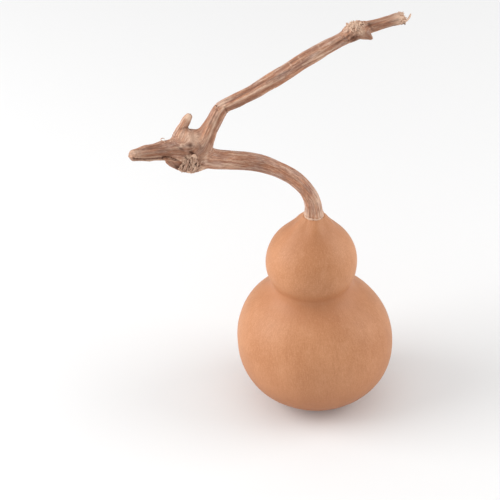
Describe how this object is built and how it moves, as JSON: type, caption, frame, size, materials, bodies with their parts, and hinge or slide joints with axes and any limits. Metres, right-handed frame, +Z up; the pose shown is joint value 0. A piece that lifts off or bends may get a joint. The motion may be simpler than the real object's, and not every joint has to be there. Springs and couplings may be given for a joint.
{
  "type": "dried bottle gourd",
  "caption": "Dried two-bulbed bottle gourd standing on its base, with its curved woody stem and a bent, knotted length of dry vine still attached.",
  "frame": {"origin": "middle of the small flat spot under the lower bulb, on which the gourd stands", "axes": "+Z up through the stem's seat, +X to the right seen from the pictured side, +Y away from that side"},
  "size_m": [0.1381, 0.0768, 0.2053],
  "materials": {
    "dried_skin": "smooth satin dried rind, warm tan, faintly mottled",
    "dried_wood": "matte grey-brown dry vine wood, ribbed along its length, pale on the ridges"
  },
  "bodies": {
    "root": {"gourd_body": "dried_skin", "stem_and_vine": "dried_wood"}
  },
  "joints": []
}
